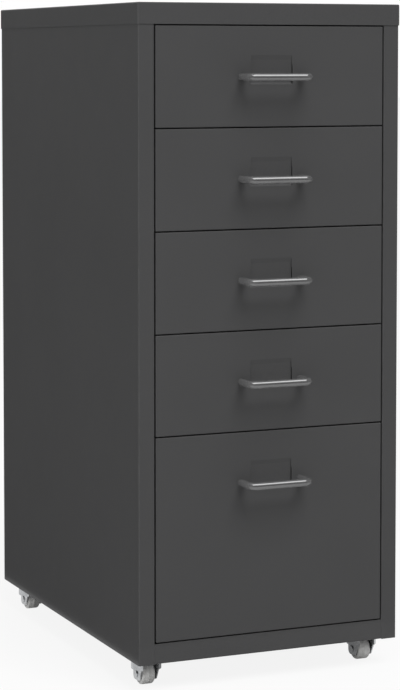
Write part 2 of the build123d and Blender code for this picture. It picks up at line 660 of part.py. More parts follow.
os.makedirs("parts", exist_ok=True)
side_panels()
back_panel()
top_cover()
bottom_pan()
back_screws()
for drawer in range(DRAWERS):
    runners(drawer)
    drawer_front(drawer)
    drawer_tray(drawer)
    drawer_handle(drawer)
    handle_screws(drawer)
castor_kingpins()
castor_balls()
castor_screws()
for castor, (castor_x, castor_y) in CASTOR_PLACES.items():
    castor_plate(castor, castor_x, castor_y)
    castor_fork(castor, castor_x, castor_y)
    castor_axle(castor, castor_x, castor_y)
    castor_wheel(castor, castor_x, castor_y)
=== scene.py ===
"""Dresses a rolling drawer cabinet and sets it on a white studio floor.

The packed parts keep their shapes and get paint, plating and plastic. Finer handles, screws, nuts,
bearing balls and wheels stand in the places of the plain ones. Lengths are in metres.
"""

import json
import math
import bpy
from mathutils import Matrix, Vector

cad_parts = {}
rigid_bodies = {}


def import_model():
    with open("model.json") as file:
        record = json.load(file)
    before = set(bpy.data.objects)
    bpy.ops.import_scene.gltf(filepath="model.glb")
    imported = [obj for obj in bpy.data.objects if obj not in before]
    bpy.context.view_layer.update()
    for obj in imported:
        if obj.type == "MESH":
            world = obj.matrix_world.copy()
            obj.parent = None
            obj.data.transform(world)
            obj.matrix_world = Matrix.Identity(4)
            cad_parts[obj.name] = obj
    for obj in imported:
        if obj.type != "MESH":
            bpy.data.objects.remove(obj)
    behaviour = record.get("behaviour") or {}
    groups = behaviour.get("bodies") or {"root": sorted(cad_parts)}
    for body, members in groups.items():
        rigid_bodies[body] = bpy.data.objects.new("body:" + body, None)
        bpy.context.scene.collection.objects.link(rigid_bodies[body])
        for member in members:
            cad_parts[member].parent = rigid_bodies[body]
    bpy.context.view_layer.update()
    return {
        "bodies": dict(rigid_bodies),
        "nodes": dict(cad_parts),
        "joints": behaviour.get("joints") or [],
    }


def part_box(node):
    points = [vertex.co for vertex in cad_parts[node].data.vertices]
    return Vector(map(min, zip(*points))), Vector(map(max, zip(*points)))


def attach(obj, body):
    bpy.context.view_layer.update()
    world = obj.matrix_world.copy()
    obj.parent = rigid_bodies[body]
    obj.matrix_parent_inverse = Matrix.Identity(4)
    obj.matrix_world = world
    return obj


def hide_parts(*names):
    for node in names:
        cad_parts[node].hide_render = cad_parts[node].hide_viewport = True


bl_info = {
    "name": "Rolling Drawer Cabinet",
    "version": (1, 0, 0),
    "blender": (4, 5, 0),
    "location": "3D View > Sidebar > Cabinet",
    "description": "Paint, plating, handles, fasteners and castors of a drawer cabinet, with its studio",
    "category": "Object",
}

import bmesh
import bpy
from bpy.props import FloatProperty, FloatVectorProperty, IntProperty, PointerProperty
from mathutils import Euler, Vector

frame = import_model()

# Pieces of the frame, by name
DRAWERS = sorted(name for name in frame["bodies"] if name.startswith("drawer_"))
JOINT_PLACES = {joint["name"]: Vector(joint.get("pos_m", (0, 0, 0))) for joint in frame["joints"]}
CASTORS = sorted(name[: -len("_turn")] for name in JOINT_PLACES if name.endswith("_turn"))
CASE_NODES = ["left_side_panel", "right_side_panel", "back_panel", "top_cover", "bottom_pan"]
MILLIMETRE = 0.001
TREAD_MARK = "tread"
WHITE = (1.0, 1.0, 1.0, 1.0)

# Turns from upright: a screw's head to the back or down, and a drill along Y
HEAD_TO_BACK = (-math.pi / 2, 0.0, 0.0)
HEAD_DOWN = (math.pi, 0.0, 0.0)
ALONG_Y = (math.pi / 2, 0.0, 0.0)

# Part of a noise pattern's values, from 0 to 1, that is stretched over the whole range
NOISE_SPAN = (0.3, 0.7)
NOISE_CORE = (0.35, 0.65)

# Paint: its grain, its soft paler areas, and the folds that hands have rubbed
GRAIN_SPAN = (0.32, 0.68)
PAINT_CLOUD = 0.09
PAINT_CLOUD_SHARE = 0.10
PAINT_CLOUD_LIFT = 1.25
PAINT_BUMP = 0.45
FLAT, FOLDED = 0.99, 0.80
RUB_SIZE = 0.012
RUB_LEAST = 0.15
RUB_LIFT = 3.2
RUB_POLISH = 0.10
DULLNESS_SPREAD = 0.05

# Bright plating: smears, and hairlines drawn out along the bar
METAL_SHARE = 0.885
SMEAR_SIZE = 0.011
SMEAR_SPAN = (0.3, 0.75)
SMEAR_SHADE = 0.93
SMEAR_SHINE, SMEAR_DULL = 0.7, 1.9
HAIR_SIZE = 0.00035
HAIR_STRETCH = (0.02, 1.0, 1.0)
HAIR_BUMP = 0.012
HAIR_DEPTH = 0.00003

# Zinc: crystals with crooked edges, dulled areas and a fine grain
CRYSTAL_WAVE = 0.004
CRYSTAL_DRIFT = 0.4
CRYSTAL_DARK, CRYSTAL_PALE = 0.86, 1.08
CRYSTAL_SHINE, CRYSTAL_DULL = 0.8, 1.3
ZINC_CLOUD = 0.02
ZINC_CLOUD_SPAN = (0.45, 0.75)
ZINC_CLOUD_SHARE = 0.35
ZINC_CLOUD_SHADE = 0.62
ZINC_GRAIN = 0.0006
ZINC_BUMP = 0.15
ZINC_DEPTH = 0.00003

# Plastic: clouds, and the marks that rolling leaves on the tread
PLASTIC_CLOUD = 0.006
PLASTIC_DARK, PLASTIC_PALE = 0.95, 1.04
SCUFF_SIZE = 0.0022
SCUFF_SPAN = (0.50, 0.72)
SCUFF_SHARE = 0.6
SCUFF_DULLING = 0.25
PLASTIC_GRAIN = 0.0005
PLASTIC_BUMP = 0.12
PLASTIC_DEPTH = 0.00004

# Angles past which an edge stays sharp
SHARP_PAST = math.radians(32)
WHEEL_SHARP_PAST = math.radians(50)

# Handles, screws, nuts and balls: faces round them, rows along them, and how far heads and nuts narrow
BEND_FACETS = 24
BORE_FACETS = 24
HEAD_FACETS, HEAD_ROWS = 32, 12
HEAD_NARROWING, HEAD_POWER = 0.34, 3.0
SHANK_FACETS = 20
SHANK_IN_HEAD = 0.3
HEXAGON = 6
NUT_FACETS, NUT_ROWS = 48, 8
NUT_NARROWING, NUT_POWER = 0.13, 5.0
BALL_SUBDIVISIONS = 3
SCREW_SEED, NUT_SEED = 7, 3

# Wheels: softened corners, steps in a rounded edge, and the seam's half widths as shares of its height
WHEEL_SOFTENING = 0.35 * MILLIMETRE
TREAD_STEPS = 6
SEAM_FOOT, SEAM_CREST = 1.5, 0.5

# Floor: half its side, the size and depth of its faint clouds, and its dullness
FLOOR_REACH = 30.0
FLOOR_CLOUD = 0.5
FLOOR_CLOUD_SHADE = 0.99
FLOOR_DULLNESS = 0.9

# Lamps: place, target and size
KEY_LAMP = ((0.5, -3.5, 5.2), (0.0, -0.15, 0.36), (3.6, 3.0))
SIDE_LAMP = ((-3.7, -0.6, 0.75), (-0.1, 0.0, 0.20), (2.2, 1.6))

# Glowing grey cards that only reflections show. Their fixed shades paint a dim studio, the floor and a dark
# horizon
# into reflections: name, middle of the foot, rise, width, shade, and any other shade at the foot
CARD_WIDTH = (4.0, 0.0, 0.0)
PAINTED_REFLECTION_CARDS = [
    ("lower card", (0.0, -0.193, 0.045), (0.0, -1.607, 0.0), CARD_WIDTH, 0.175, None),
    ("front card", (0.0, -1.8, 0.045), (0.0, -0.05, 1.205), CARD_WIDTH, 0.005, None),
    ("upper card", (0.0, -1.85, 1.25), (0.0, -0.15, 1.15), CARD_WIDTH, 0.20, None),
    ("overhead card", (0.0, -0.6, 3.0), (0.0, 2.1, 0.0), CARD_WIDTH, 0.16, None),
    ("left card", (-0.1445, 1.89, 0.030), (-1.95, 0.0, 2.6), (0.0, -4.22, 0.0), 0.05, 0.09),
    ("right card", (0.1445, 1.89, 0.030), (1.95, 0.0, 2.6), (0.0, 4.22, 0.0), 0.05, 0.09),
    ("left front card", (-1.6, -0.725, 0.045), (0.0, 0.0, 2.6), (0.0, -2.25, 0.0), 0.05, None),
    ("right front card", (1.6, -0.725, 0.045), (0.0, 0.0, 2.6), (0.0, 2.25, 0.0), 0.05, None),
    # Painted shadow: this glowing card stands in for the cabinet's shadow on the floor, as reflections see it
    ("under card", (0.0, -0.4, 0.001), (0.0, 0.605, 0.0), (0.25, 0.0, 0.0), 0.26, None),
]
CARD_FOOT_SHARE = 0.22

# Camera: width of its sensor in millimetres, and how far it sees
SENSOR_WIDTH = 36.0
CAMERA_REACH = 200.0


def length(label, text, millimetres):
    """A size that a user may change, given in millimetres and kept in metres."""
    return FloatProperty(
        name=label, description=text, default=millimetres * MILLIMETRE, min=0.0, precision=5, unit="LENGTH"
    )


def share(label, text, value):
    """A part of a whole, from 0 to 1."""
    return FloatProperty(name=label, description=text, default=value, min=0.0, max=1.0, subtype="FACTOR")


def colour(label, text, value):
    """A linear colour."""
    return FloatVectorProperty(name=label, description=text, default=value, min=0.0, max=1.0, subtype="COLOR")


def wattage(label, text, watts):
    """A lamp's power in watts."""
    return FloatProperty(name=label, description=text, default=watts, min=0.0, unit="POWER")


class CabinetPaint(bpy.types.PropertyGroup):
    """Powder coat of the case, the fronts and the trays."""

    tone: colour("Colour", "Main colour of the coat", (0.0595, 0.0595, 0.0603))
    grain: length("Grain", "Size of the coat's fine texture", 0.9)
    relief: length("Relief", "Height of the fine texture", 0.05)
    mottle: share("Mottle", "How much the fine texture lightens and darkens the colour", 0.10)
    gloss: share("Gloss", "Strength of the coat's sheen", 0.16)
    dullness: share("Roughness", "How much the sheen spreads", 0.50)
    wear: share("Wear", "How pale the coat is where hands have polished the folds", 0.12)


class CabinetPlating(bpy.types.PropertyGroup):
    """Bright plating of the handles and zinc plating of the runners, castors and fasteners."""

    bright: colour("Bright plating", "Colour of the handles", (0.66, 0.66, 0.665))
    bright_dullness: share("Bright roughness", "How much a handle's reflections spread", 0.04)
    zinc: colour("Zinc", "Colour of the zinc plating", (0.51, 0.52, 0.53))
    zinc_dullness: share("Zinc roughness", "How much the zinc's reflections spread", 0.30)
    spangle: length("Spangle", "Size of the zinc's crystals", 3.0)


class CabinetPlastic(bpy.types.PropertyGroup):
    """Moulded plastic of the wheels."""

    tone: colour("Colour", "Colour of the wheels", (0.58, 0.58, 0.57))
    scuff: colour("Scuffs", "Colour of the marks on the tread", (0.33, 0.32, 0.31))
    dullness: share("Roughness", "How much the sheen spreads", 0.42)


class CabinetHandle(bpy.types.PropertyGroup):
    """Bent wire handles."""

    wire: length("Wire radius", "Half the thickness of the wire", 3.8)
    bend: length("Bend radius", "Radius of each bend, at the middle of the wire", 6.5)
    bore: length("Bore", "Radius of the tapped hole in each end", 2.0)
    bore_depth: length("Bore depth", "Depth of the tapped holes", 9.0)
    step: length("Step", "Distance between the rings of the mesh", 0.8)
    facets: IntProperty(name="Facets", description="Faces round the wire", default=36, min=8)


class CabinetFasteners(bpy.types.PropertyGroup):
    """Screws, nuts and bearing balls."""

    thread: length("Thread radius", "Half the thickness of a screw", 1.95)
    head: length("Head radius", "Half the width of a screw's head", 3.6)
    rise: length("Head height", "Height of a screw's head", 2.0)
    castor_head: length("Castor head radius", "Half the width of a castor screw's head", 3.4)
    castor_rise: length("Castor head height", "Height of a castor screw's head", 1.8)
    back_grip: length("Back screw length", "Length of a back screw under its head", 8.0)
    back_rows: IntProperty(name="Back rows", description="Screws up each side of the back", default=4, min=2)
    recess: length("Recess", "Span of the cross recess", 3.9)
    slot: length("Slot", "Width of the recess's arms", 0.75)
    sink: length("Sink", "Depth of the recess", 1.1)
    hole_width: length("Plate holes across", "Distance between a castor's screws from side to side", 25.0)
    hole_length: length("Plate holes along", "Distance between a castor's screws from front to back", 29.0)
    nut: length("Nut", "Width of a nut across its flats", 7.0)
    nut_rise: length("Nut height", "Height of a nut", 3.0)
    ball: length("Ball radius", "Half the width of a bearing ball", 1.1)
    ring: length("Ball ring", "Radius of a swivel's ring of balls", 9.0)
    balls: IntProperty(name="Balls", description="Balls in one swivel", default=8, min=3)


class CabinetWheel(bpy.types.PropertyGroup):
    """Moulded castor wheels."""

    crown: length("Edge", "Radius of the tread's edges", 2.4)
    rim: length("Rim", "Height of the rim round the dished side", 2.6)
    dish: length("Dish", "Depth of the dished side", 1.4)
    hub: length("Hub radius", "Half the width of the hub", 4.2)
    proud: length("Hub end", "Length of the hub past the tread", 1.0)
    bore: length("Bore", "Radius of the hole for the axle", 2.05)
    seam: length("Seam", "Height of the moulding seam round the tread", 0.10)
    facets: IntProperty(name="Facets", description="Faces round the wheel", default=72, min=16)


class CabinetStage(bpy.types.PropertyGroup):
    """Floor, surrounding light, lamps and camera."""

    floor_tone: colour("Floor", "Colour of the floor", (0.78, 0.78, 0.78))
    floor_glow: share("Floor glow", "How much of the floor's white doesn't depend on the lamps", 0.88)
    ambient: share("Ambient", "Light from all round", 0.52)
    key: wattage("Key lamp", "Power of the lamp over the front", 264.0)
    side: wattage("Side lamp", "Power of the lamp at the left", 40.0)
    camera_place: FloatVectorProperty(
        name="Camera",
        description="Place of the camera",
        default=(-0.9602, -2.2271, 0.6190),
        subtype="TRANSLATION",
    )
    camera_turn: FloatVectorProperty(
        name="Turn",
        description="Tilt, roll and heading of the camera",
        default=(math.radians(90 - 3.420), 0.0, math.radians(-23.475)),
        subtype="EULER",
    )
    lens: FloatProperty(name="Lens", description="Focal length", default=119.30, min=1.0, unit="CAMERA")
    shift: FloatProperty(name="Shift", description="Upward shift of the view", default=-0.2174)


GROUPS = {
    "cabinet_paint": CabinetPaint,
    "cabinet_plating": CabinetPlating,
    "cabinet_plastic": CabinetPlastic,
    "cabinet_handle": CabinetHandle,
    "cabinet_fasteners": CabinetFasteners,
    "cabinet_wheel": CabinetWheel,
    "cabinet_stage": CabinetStage,
}


# Node helpers


def add_node(tree, kind, inputs=None, **settings):
    """Add a node, set its options, and give each input a value or a link from another node's output."""
    made = tree.nodes.new(kind)
    for name, value in settings.items():
        setattr(made, name, value)
    for key, value in (inputs or {}).items():
        if isinstance(value, bpy.types.Node):
            value = value.outputs[0]
        if isinstance(value, bpy.types.NodeSocket):
            tree.links.new(value, made.inputs[key])
        else:
            made.inputs[key].default_value = value
    return made


def maths(tree, operation, *values):
    """One step of arithmetic."""
    return add_node(tree, "ShaderNodeMath", dict(enumerate(values)), operation=operation)


def remap(tree, value, low, high, new_low, new_high):
    """Stretch a value's range to another one, and hold it there."""
    ends = {"Value": value, "From Min": low, "From Max": high, "To Min": new_low, "To Max": new_high}
    return add_node(tree, "ShaderNodeMapRange", ends)


def blend_colours(tree, factor, first, second):
    """Mix two colours, each a socket or a colour without alpha."""
    ends = [c if isinstance(c, bpy.types.NodeSocket) else (*c, 1.0) for c in (first, second)]
    return add_node(tree, "ShaderNodeMix", {0: factor, 6: ends[0], 7: ends[1]}, data_type="RGBA").outputs[2]


def noise(tree, place, size, detail=2.0, roughness=0.5):
    """Cloudy pattern whose blobs have about the given size."""
    inputs = {"Vector": place, "Scale": 1 / size, "Detail": detail, "Roughness": roughness}
    return add_node(tree, "ShaderNodeTexNoise", inputs)


def bumped(tree, surface, height, strength, depth):
    """Give a surface fine relief."""
    bump = add_node(tree, "ShaderNodeBump", {"Strength": strength, "Distance": depth, "Height": height})
    tree.links.new(bump.outputs[0], surface.inputs["Normal"])


def new_material(name, shader="ShaderNodeBsdfPrincipled"):
    """A material with one shader, its node tree and that shader."""
    material = bpy.data.materials.new(name)
    material.use_nodes = True
    tree = material.node_tree
    tree.nodes.clear()
    surface = add_node(tree, shader)
    add_node(tree, "ShaderNodeOutputMaterial", {"Surface": surface})
    return material, tree, surface


def tinted(tone, factor):
    """A colour made lighter or darker."""
    return tuple(min(1.0, channel * factor) for channel in tone)


# Materials


def powder_coat(look):
    """Fine-textured matt paint, a little paler and smoother along the folds."""
    material, tree, surface = new_material("Anthracite powder coat")
    place = add_node(tree, "ShaderNodeTexCoord").outputs["Object"]
    grain = noise(tree, place, look.grain, detail=3.0, roughness=0.6)
    cloud = noise(tree, place, PAINT_CLOUD, detail=3.0)
    base = blend_colours(
        tree,
        remap(tree, grain, *GRAIN_SPAN, 0.0, 1.0).outputs[0],
        tinted(look.tone, 1 - look.mottle),
        tinted(look.tone, 1 + look.mottle),
    )
    paler = remap(tree, cloud, *NOISE_CORE, 0.0, PAINT_CLOUD_SHARE).outputs[0]
    base = blend_colours(tree, paler, base, tinted(look.tone, PAINT_CLOUD_LIFT))

    # A flat sheet faces along an axis and a fold turns away from it
    outward = add_node(tree, "ShaderNodeNewGeometry").outputs["Normal"]
    along_axes = add_node(tree, "ShaderNodeVectorMath", {0: outward}, operation="ABSOLUTE")
    parts = add_node(tree, "ShaderNodeSeparateXYZ", {0: along_axes}).outputs
    widest = maths(tree, "MAXIMUM", maths(tree, "MAXIMUM", parts[0], parts[1]), parts[2])
    fold = remap(tree, widest, FLAT, FOLDED, 0.0, 1.0)
    patches = remap(tree, noise(tree, place, RUB_SIZE, detail=4.0), *NOISE_CORE, RUB_LEAST, 1.0)
    rubbed = maths(tree, "MULTIPLY", fold, patches)
    worn = maths(tree, "MULTIPLY", rubbed, look.wear)
    base = blend_colours(tree, worn.outputs[0], base, tinted(look.tone, RUB_LIFT))
    tree.links.new(base, surface.inputs["Base Color"])

    dullness = look.dullness
    rough = remap(tree, cloud, *NOISE_SPAN, dullness - DULLNESS_SPREAD, dullness + DULLNESS_SPREAD)
    rough = maths(tree, "SUBTRACT", rough, maths(tree, "MULTIPLY", rubbed, RUB_POLISH))
    tree.links.new(rough.outputs[0], surface.inputs["Roughness"])
    surface.inputs["Specular IOR Level"].default_value = look.gloss
    bumped(tree, surface, grain, PAINT_BUMP, look.relief)
    return material


def bright_plating(look):
    """Polished plating with faint smears and hairline scratches along the bar."""
    material, tree, surface = new_material("Bright plating")
    place = add_node(tree, "ShaderNodeTexCoord").outputs["Object"]
    smear = noise(tree, place, SMEAR_SIZE, detail=4.0, roughness=0.6)
    clear = remap(tree, smear, *NOISE_SPAN, 0.0, 1.0).outputs[0]
    tone = blend_colours(tree, clear, tinted(look.bright, SMEAR_SHADE), look.bright)
    tree.links.new(tone, surface.inputs["Base Color"])
    dullness = look.bright_dullness
    rough = remap(tree, smear, *SMEAR_SPAN, dullness * SMEAR_SHINE, dullness * SMEAR_DULL)
    tree.links.new(rough.outputs[0], surface.inputs["Roughness"])
    surface.inputs["Metallic"].default_value = METAL_SHARE
    drawn = add_node(tree, "ShaderNodeMapping", {"Vector": place, "Scale": HAIR_STRETCH})
    hairs = noise(tree, drawn.outputs[0], HAIR_SIZE, roughness=0.7)
    bumped(tree, surface, hairs, HAIR_BUMP, HAIR_DEPTH)
    return material


def zinc_plating(look):
    """Zinc with a faint pattern of crystals."""
    material, tree, surface = new_material("Zinc plating")
    place = add_node(tree, "ShaderNodeTexCoord").outputs["Object"]
    wave = noise(tree, place, CRYSTAL_WAVE).outputs["Color"]
    reach = look.spangle * CRYSTAL_DRIFT
    drift = add_node(tree, "ShaderNodeVectorMath", {0: wave, "Scale": reach}, operation="SCALE")
    crooked = add_node(tree, "ShaderNodeVectorMath", {0: drift, 1: place}, operation="ADD")
    crystals = add_node(tree, "ShaderNodeTexVoronoi", {"Vector": crooked, "Scale": 1 / look.spangle})
    shade = add_node(tree, "ShaderNodeSeparateColor", {0: crystals.outputs["Color"]})
    dark, pale = tinted(look.zinc, CRYSTAL_DARK), tinted(look.zinc, CRYSTAL_PALE)
    tone = blend_colours(tree, shade.outputs[0], dark, pale)
    cloud = noise(tree, place, ZINC_CLOUD, detail=4.0)
    dulled = remap(tree, cloud, *ZINC_CLOUD_SPAN, 0.0, ZINC_CLOUD_SHARE)
    tone = blend_colours(tree, dulled.outputs[0], tone, tinted(look.zinc, ZINC_CLOUD_SHADE))
    tree.links.new(tone, surface.inputs["Base Color"])
    dullness = look.zinc_dullness
    rough = remap(tree, shade.outputs[1], 0.0, 1.0, dullness * CRYSTAL_SHINE, dullness * CRYSTAL_DULL)
    tree.links.new(rough.outputs[0], surface.inputs["Roughness"])
    surface.inputs["Metallic"].default_value = 1.0
    grain = noise(tree, place, ZINC_GRAIN, detail=3.0, roughness=0.6)
    bumped(tree, surface, grain, ZINC_BUMP, ZINC_DEPTH)
    return material


def moulded_plastic(look):
    """Satin plastic with rolling marks on the tread."""
    material, tree, surface = new_material("Grey moulded plastic")
    place = add_node(tree, "ShaderNodeTexCoord").outputs["Object"]
    tread = add_node(tree, "ShaderNodeAttribute", attribute_name=TREAD_MARK).outputs["Fac"]
    cloud = remap(tree, noise(tree, place, PLASTIC_CLOUD, detail=3.0), *NOISE_SPAN, 0.0, 1.0).outputs[0]
    tone = blend_colours(tree, cloud, tinted(look.tone, PLASTIC_DARK), tinted(look.tone, PLASTIC_PALE))
    specks = noise(tree, place, SCUFF_SIZE, detail=5.0, roughness=0.7)
    marks = remap(tree, specks, *SCUFF_SPAN, 0.0, SCUFF_SHARE)
    tone = blend_colours(tree, maths(tree, "MULTIPLY", marks, tread).outputs[0], tone, look.scuff)
    tree.links.new(tone, surface.inputs["Base Color"])
    rough = remap(tree, marks, 0.0, SCUFF_SHARE, look.dullness, look.dullness + SCUFF_DULLING)
    tree.links.new(rough.outputs[0], surface.inputs["Roughness"])
    bumped(tree, surface, noise(tree, place, PLASTIC_GRAIN), PLASTIC_BUMP, PLASTIC_DEPTH)
    return material


def seen_directly(tree):
    """One for what the camera, a reflection or a clear piece shows, and nought for the light it casts."""
    path = add_node(tree, "ShaderNodeLightPath").outputs
    mirrored = maths(tree, "MAXIMUM", path["Is Glossy Ray"], path["Is Transmission Ray"])
    return maths(tree, "MAXIMUM", path["Is Camera Ray"], mirrored)


def floor_white(look):
    """White floor that keeps the object's shadow."""
    material, tree, surface = new_material("Studio floor")
    place = add_node(tree, "ShaderNodeTexCoord").outputs["Object"]
    cloud = remap(tree, noise(tree, place, FLOOR_CLOUD), *NOISE_SPAN, 0.0, 1.0)
    tone = blend_colours(tree, cloud.outputs[0], tinted(look.floor_tone, FLOOR_CLOUD_SHADE), look.floor_tone)
    tree.links.new(tone, surface.inputs["Base Color"])
    surface.inputs["Roughness"].default_value = FLOOR_DULLNESS
    surface.inputs["Specular IOR Level"].default_value = 0.0
    glow = add_node(tree, "ShaderNodeEmission", {"Color": WHITE, "Strength": 1.0})
    factor = maths(tree, "MULTIPLY", seen_directly(tree), look.floor_glow)
    mixed = add_node(tree, "ShaderNodeMixShader", {0: factor, 1: surface, 2: glow})
    tree.links.new(mixed.outputs[0], tree.nodes["Material Output"].inputs["Surface"])
    return material


def material_for(finish):
    """The material of a slot in the record, made when first asked for."""
    scene = bpy.context.scene
    makers = {
        "anthracite_paint": ("Anthracite powder coat", powder_coat, scene.cabinet_paint),
        "bright_plating": ("Bright plating", bright_plating, scene.cabinet_plating),
        "zinc_plating": ("Zinc plating", zinc_plating, scene.cabinet_plating),
        "grey_polypropylene": ("Grey moulded plastic", moulded_plastic, scene.cabinet_plastic),
    }
    name, maker, look = makers[finish]
    return bpy.data.materials.get(name) or maker(look)


def coat(names, finish):
    """Give packed parts the material of a slot."""
    material = material_for(finish)
    for name in names:
        part = frame["nodes"][name]
        part.data.materials.clear()
        part.data.materials.append(material)


# Geometry Nodes helpers


def new_tree(name, sizes):
    """An empty node tree that takes a geometry and named sizes."""
    tree = bpy.data.node_groups.new(name, "GeometryNodeTree")
    tree.interface.new_socket("Geometry", in_out="INPUT", socket_type="NodeSocketGeometry")
    for label, kind in sizes.items():
        tree.interface.new_socket(label, in_out="INPUT", socket_type=kind)
    tree.interface.new_socket("Geometry", in_out="OUTPUT", socket_type="NodeSocketGeometry")
    return tree, add_node(tree, "NodeGroupInput").outputs


def end_tree(tree, geometry, material):
    """Make the instances real, give them their material and pass them out."""
    real = add_node(tree, "GeometryNodeRealizeInstances", {"Geometry": geometry})
    dressed = add_node(tree, "GeometryNodeSetMaterial", {"Geometry": real, "Material": material})
    add_node(tree, "NodeGroupOutput", {"Geometry": dressed})
    return tree


def cylinder(tree, sides, radius, depth, rows=1):
    """Upright cylinder, centred on the origin."""
    sizes = {"Vertices": sides, "Side Segments": rows, "Radius": radius, "Depth": depth}
    return add_node(tree, "GeometryNodeMeshCylinder", sizes)


def cube(tree, across, along, height):
    """Box centred on the origin."""
    span = add_node(tree, "ShaderNodeCombineXYZ", {0: across, 1: along, 2: height})
    return add_node(tree, "GeometryNodeMeshCube", {0: span})


def spun(tree, instances, seed, most):
    """Turn each instance about its own axis by a random angle."""
    spin = add_node(tree, "FunctionNodeRandomValue", {"Seed": seed}, data_type="FLOAT")
    turn = add_node(tree, "ShaderNodeCombineXYZ", {"Z": maths(tree, "MULTIPLY", spin.outputs[1], most)})
    return add_node(tree, "GeometryNodeRotateInstances", {"Instances": instances, "Rotation": turn})


def lifted(tree, geometry, height):
    """Geometry moved up."""
    up = add_node(tree, "ShaderNodeCombineXYZ", {"Z": height})
    return add_node(tree, "GeometryNodeTransform", {"Geometry": geometry, "Translation": up})


def joined(tree, operation, first, *others):
    """Boolean of closed meshes."""
    made = add_node(tree, "GeometryNodeMeshBoolean", operation=operation, solver="EXACT")
    if operation == "DIFFERENCE":
        tree.links.new(first.outputs[0], made.inputs[0])
    else:
        others = (first, *others)
    for other in others:
        tree.links.new(other.outputs[0], made.inputs[1])
    return made


def narrowed(tree, geometry, depth, amount, power):
    """Draw a centred shape in towards its ends, the more the nearer to an end."""
    place = add_node(tree, "GeometryNodeInputPosition").outputs[0]
    height = add_node(tree, "ShaderNodeSeparateXYZ", {0: place}).outputs["Z"]
    along = maths(tree, "DIVIDE", maths(tree, "ABSOLUTE", height), maths(tree, "MULTIPLY", depth, 0.5))
    drawn = maths(tree, "MULTIPLY_ADD", maths(tree, "POWER", along, power), -amount, 1.0)
    scale = add_node(tree, "ShaderNodeCombineXYZ", {"X": drawn, "Y": drawn, "Z": 1.0})
    moved = add_node(tree, "ShaderNodeVectorMath", {0: place, 1: scale}, operation="MULTIPLY")
    return add_node(tree, "GeometryNodeSetPosition", {"Geometry": geometry, "Position": moved})


def handle_tree(material):
    """Round wire along a path whose corners are bent, bored along Y in both ends."""
    sizes = ["Bend Radius", "Wire Radius", "Step", "Bore Radius", "Bore Depth"]
    kinds = {**dict.fromkeys(sizes, "NodeSocketFloat"), "Facets": "NodeSocketInt"}
    tree, given = new_tree("Wire handle", kinds)
    path = add_node(tree, "GeometryNodeMeshToCurve", {"Mesh": given["Geometry"]})
    bends = {"Curve": path, "Radius": given["Bend Radius"], "Count": BEND_FACETS}
    bent = add_node(tree, "GeometryNodeFilletCurve", bends, mode="POLY")
    rings = {"Curve": bent, "Length": given["Step"]}
    even = add_node(tree, "GeometryNodeResampleCurve", rings, mode="LENGTH")
    round_wire = {"Resolution": given["Facets"], "Radius": given["Wire Radius"]}
    section = add_node(tree, "GeometryNodeCurvePrimitiveCircle", round_wire)
    sweep = {"Curve": even, "Profile Curve": section, "Fill Caps": True}
    wire = add_node(tree, "GeometryNodeCurveToMesh", sweep)

    # Only the two ends of the path have a single neighbour
    neighbours = add_node(tree, "GeometryNodeInputMeshVertexNeighbors").outputs["Vertex Count"]
    ends = maths(tree, "LESS_THAN", neighbours, 1.5)
    depth = maths(tree, "MULTIPLY", given["Bore Depth"], 2.0)
    drill = cylinder(tree, BORE_FACETS, given["Bore Radius"], depth)
    seats = {"Points": given["Geometry"], "Selection": ends, "Instance": drill, "Rotation": ALONG_Y}
    drills = add_node(tree, "GeometryNodeInstanceOnPoints", seats)
    holes = add_node(tree, "GeometryNodeRealizeInstances", {"Geometry": drills})
    return end_tree(tree, joined(tree, "DIFFERENCE", wire, holes), material)


def screw_tree(material):
    """Pan-head screw with a cross recess on every point, each turned its own way."""
    sizes = ["Head Radius", "Head Height", "Thread Radius", "Grip", "Recess", "Slot", "Sink"]
    kinds = {**dict.fromkeys(sizes, "NodeSocketFloat"), "Turn": "NodeSocketVector"}
    tree, given = new_tree("Cross-head screws", kinds)
    height = given["Head Height"]
    full = maths(tree, "MULTIPLY", height, 2.0)
    barrel = cylinder(tree, HEAD_FACETS, given["Head Radius"], full, HEAD_ROWS)
    pan = narrowed(tree, barrel, full, HEAD_NARROWING, HEAD_POWER)
    reach = maths(tree, "ADD", given["Head Radius"], given["Head Radius"])
    below = cube(tree, reach, reach, full)
    head = joined(tree, "DIFFERENCE", pan, lifted(tree, below, maths(tree, "MULTIPLY", height, -1.0)))
    embed = maths(tree, "MULTIPLY", height, SHANK_IN_HEAD)
    shank = cylinder(tree, SHANK_FACETS, given["Thread Radius"], maths(tree, "ADD", given["Grip"], embed))
    middle = maths(tree, "MULTIPLY", maths(tree, "SUBTRACT", embed, given["Grip"]), 0.5)
    whole = joined(tree, "UNION", head, lifted(tree, shank, middle))
    deep = maths(tree, "MULTIPLY", given["Sink"], 2.0)
    arms = []
    for wide, thin in ((given["Recess"], given["Slot"]), (given["Slot"], given["Recess"])):
        arms.append(lifted(tree, cube(tree, wide, thin, deep), height))
    screw = joined(tree, "DIFFERENCE", whole, *arms)
    seats = {"Points": given["Geometry"], "Instance": screw, "Rotation": given["Turn"]}
    placed = add_node(tree, "GeometryNodeInstanceOnPoints", seats)
    return end_tree(tree, spun(tree, placed, SCREW_SEED, math.pi / 2), material)


